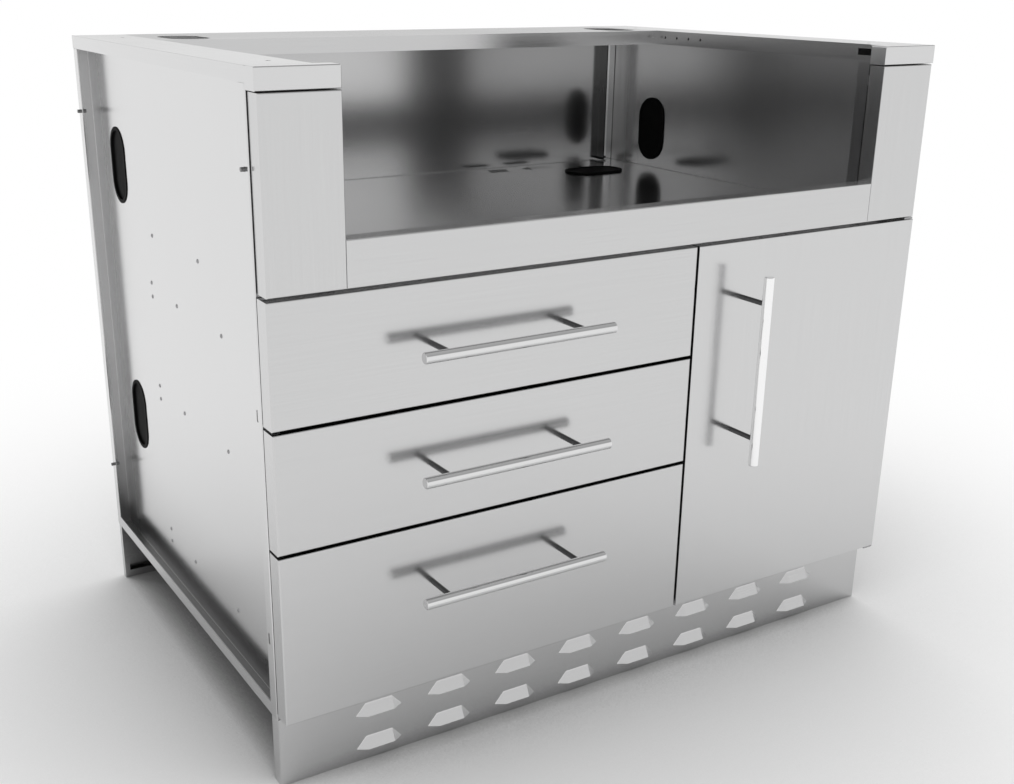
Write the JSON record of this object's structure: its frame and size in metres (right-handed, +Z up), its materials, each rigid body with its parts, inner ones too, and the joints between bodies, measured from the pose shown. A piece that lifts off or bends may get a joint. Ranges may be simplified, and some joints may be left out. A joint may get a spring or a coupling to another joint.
{
  "type": "grill base cabinet",
  "caption": "Free-standing brushed steel base cabinet with an open bay for a drop-in grill above drawers on slides and a hinged door, on louvred kick panels.",
  "frame": {"origin": "on the floor, in the middle of the overall box with the handles and joining pins", "axes": "+X to the right seen from the front, +Y towards the back, +Z up; the fronts face -Y"},
  "size_m": [1.025, 0.762, 0.8763],
  "materials": {
    "front_steel": "brushed",
    "body_steel": "brushed",
    "bay_steel": "bright brushed",
    "bar_steel": "polished",
    "slide_zinc": "zinc plated",
    "screw_steel": "plain",
    "black_rubber": "matte",
    "bushing_nylon": "moulded",
    "catch_plastic": "moulded"
  },
  "bodies": {
    "cabinet": {"left_side_panel": "body_steel", "right_side_panel": "body_steel", "back_panel": "body_steel", "floor_panel": "body_steel", "partition": "body_steel", "header_rail": "body_steel", "left_jamb": "body_steel", "right_jamb": "body_steel", "left_top_rail": "front_steel", "right_top_rail": "front_steel", "rear_top_shelf": "front_steel", "grill_tray": "bay_steel", "bay_angle": "bay_steel", "fascia_left": "front_steel", "fascia_right": "front_steel", "fascia_rail": "front_steel", "fascia_clips": "screw_steel", "front_kick": "front_steel", "rear_kick": "body_steel", "grommets": "black_rubber", "joining_pins": "screw_steel", "panel_screws": "screw_steel", "door_pivot_brackets": "screw_steel", "door_catch": "catch_plastic", "bumpers": "black_rubber", "drawer_1_slide_outer": "slide_zinc", "drawer_2_slide_outer": "slide_zinc", "drawer_3_slide_outer": "slide_zinc"},
    "drawer_1": {"drawer_1_front_skin": "front_steel", "drawer_1_front_liner": "body_steel", "drawer_1_box": "body_steel", "drawer_1_handle_bar": "bar_steel", "drawer_1_handle_posts": "screw_steel", "drawer_1_handle_screws": "screw_steel", "drawer_1_slide_inner": "slide_zinc"},
    "drawer_1_slides": {"drawer_1_slide_middle": "slide_zinc"},
    "drawer_2": {"drawer_2_front_skin": "front_steel", "drawer_2_front_liner": "body_steel", "drawer_2_box": "body_steel", "drawer_2_handle_bar": "bar_steel", "drawer_2_handle_posts": "screw_steel", "drawer_2_handle_screws": "screw_steel", "drawer_2_slide_inner": "slide_zinc"},
    "drawer_2_slides": {"drawer_2_slide_middle": "slide_zinc"},
    "drawer_3": {"drawer_3_front_skin": "front_steel", "drawer_3_front_liner": "body_steel", "drawer_3_box": "body_steel", "drawer_3_handle_bar": "bar_steel", "drawer_3_handle_posts": "screw_steel", "drawer_3_handle_screws": "screw_steel", "drawer_3_slide_inner": "slide_zinc"},
    "drawer_3_slides": {"drawer_3_slide_middle": "slide_zinc"},
    "door": {"door_front_skin": "front_steel", "door_front_liner": "body_steel", "door_handle_bar": "bar_steel", "door_handle_posts": "screw_steel", "door_handle_screws": "screw_steel", "door_pivot_bushings": "bushing_nylon", "door_strike": "screw_steel"}
  },
  "joints": [
    {"name": "drawer_1_pull", "type": "slide", "parent": "cabinet", "child": "drawer_1", "axis": [0, -1, 0], "range_m": [0, 0.48]},
    {"name": "drawer_1_slide_follow", "type": "slide", "parent": "cabinet", "child": "drawer_1_slides", "axis": [0, -1, 0], "range_m": [0, 0.24]},
    {"name": "drawer_2_pull", "type": "slide", "parent": "cabinet", "child": "drawer_2", "axis": [0, -1, 0], "range_m": [0, 0.48]},
    {"name": "drawer_2_slide_follow", "type": "slide", "parent": "cabinet", "child": "drawer_2_slides", "axis": [0, -1, 0], "range_m": [0, 0.24]},
    {"name": "drawer_3_pull", "type": "slide", "parent": "cabinet", "child": "drawer_3", "axis": [0, -1, 0], "range_m": [0, 0.48]},
    {"name": "drawer_3_slide_follow", "type": "slide", "parent": "cabinet", "child": "drawer_3_slides", "axis": [0, -1, 0], "range_m": [0, 0.24]},
    {"name": "door_swing", "type": "hinge", "parent": "cabinet", "child": "door", "pos_m": [0.499, -0.319, 0.368], "axis": [0, 0, 1], "range_deg": [0, 105]}
  ],
  "couplings": [
    {"joint": "drawer_1_slide_follow", "follows": "drawer_1_pull", "ratio": 0.5},
    {"joint": "drawer_2_slide_follow", "follows": "drawer_2_pull", "ratio": 0.5},
    {"joint": "drawer_3_slide_follow", "follows": "drawer_3_pull", "ratio": 0.5}
  ]
}
